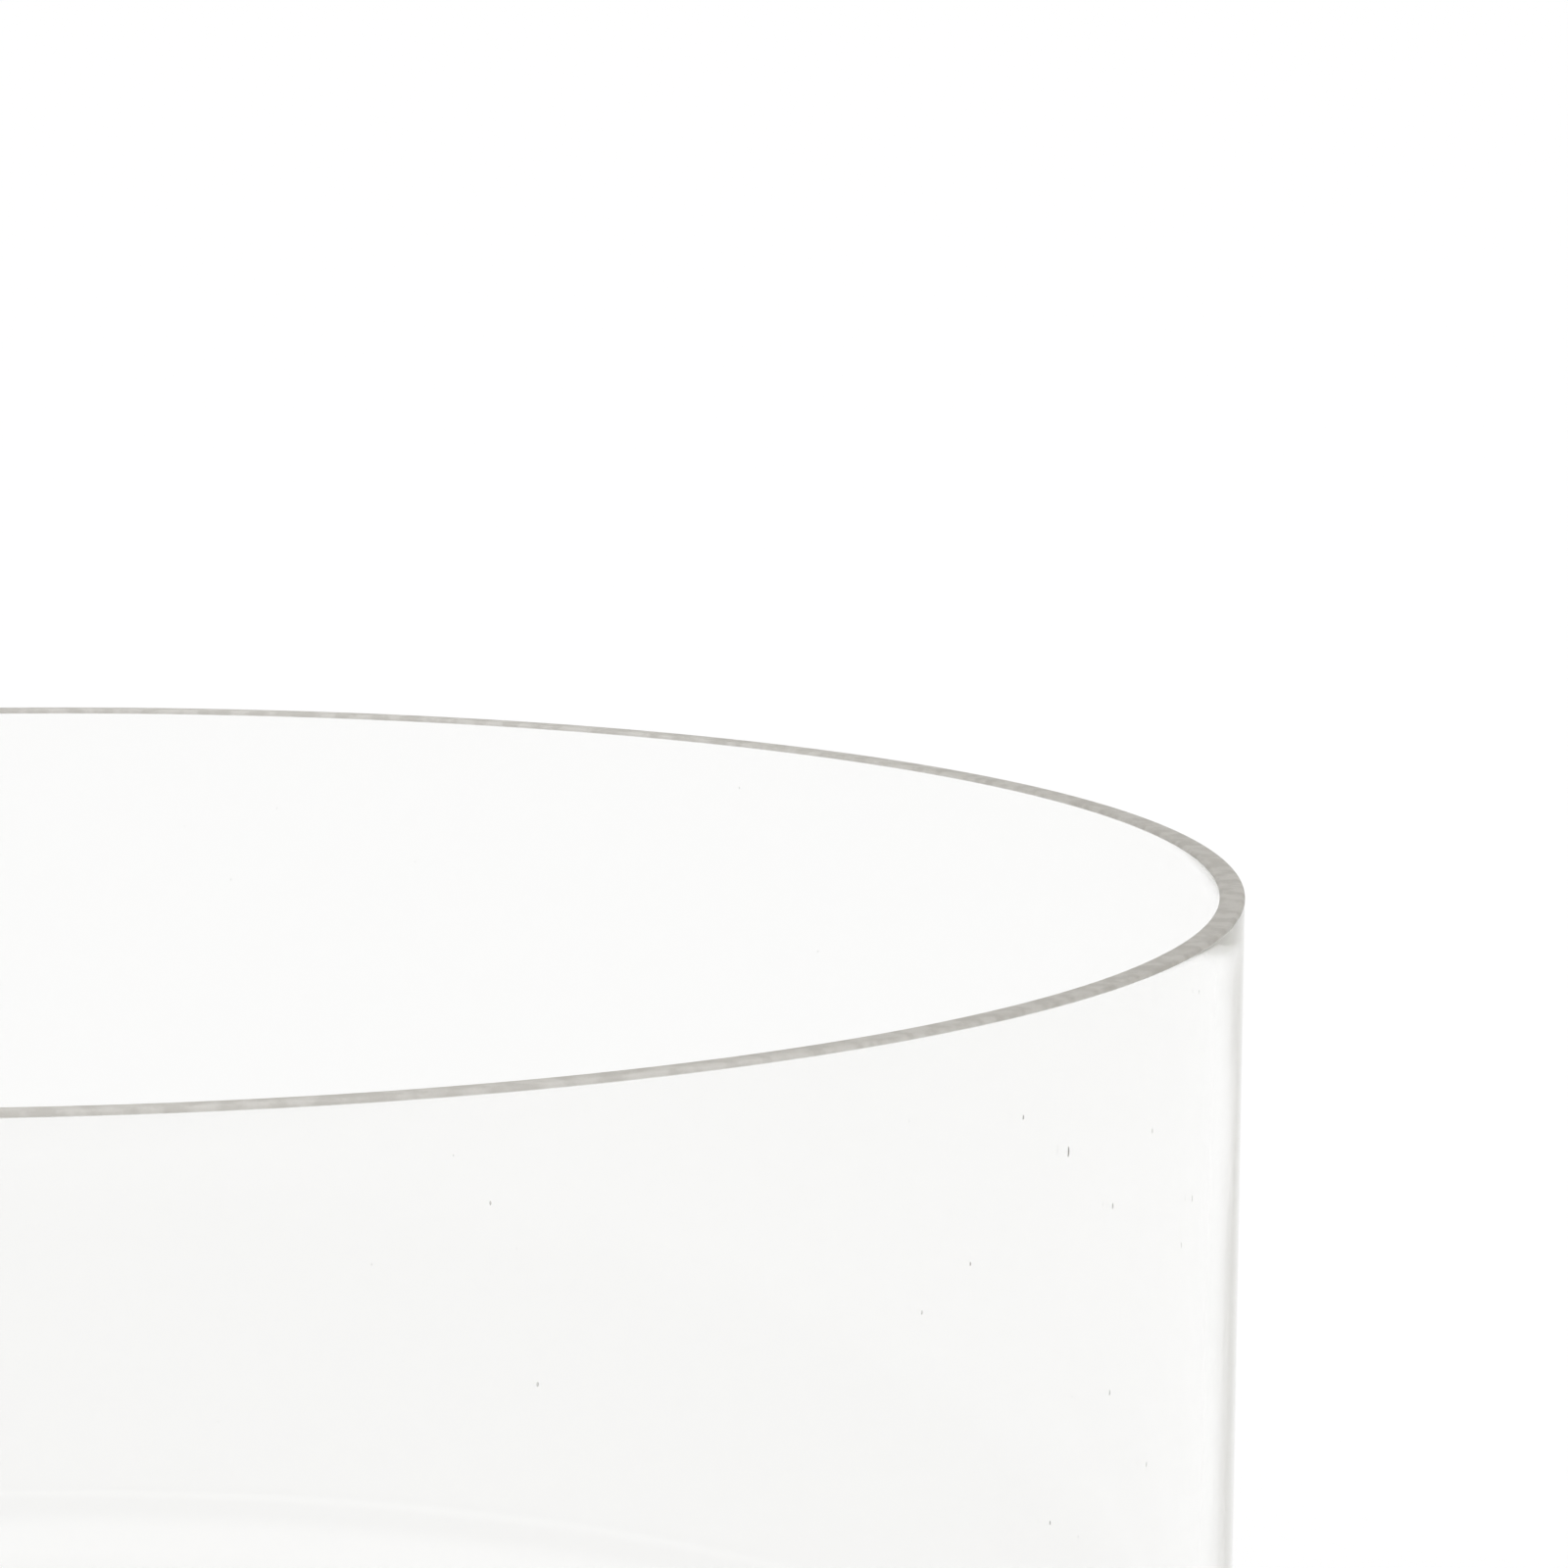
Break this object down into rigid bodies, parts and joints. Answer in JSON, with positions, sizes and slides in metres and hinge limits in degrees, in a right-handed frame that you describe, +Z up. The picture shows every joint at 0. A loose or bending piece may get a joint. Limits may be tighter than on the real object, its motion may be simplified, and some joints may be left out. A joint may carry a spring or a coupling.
{
  "type": "crystallizing dish",
  "caption": "Wide, flat-bottomed clear glass dish with straight sides, a rounded heel, a pushed-up base and a ground flat rim without a spout, for crystallizing or evaporating liquids.",
  "frame": {"origin": "on the dish's axis, in the plane of the flat ring that it stands on", "axes": "+Z up along the axis, out of the mouth; the dish is a body of revolution, so X and Y are any two level directions at right angles"},
  "size_m": [0.23, 0.23, 0.1],
  "materials": {
    "clear_glass": "clear polished borosilicate glass, nearly colourless",
    "ground_glass": "finely ground and flame-softened glass, satin"
  },
  "bodies": {
    "root": {"base": "clear_glass", "heel": "clear_glass", "side_wall": "clear_glass", "rim": "ground_glass"}
  },
  "joints": []
}
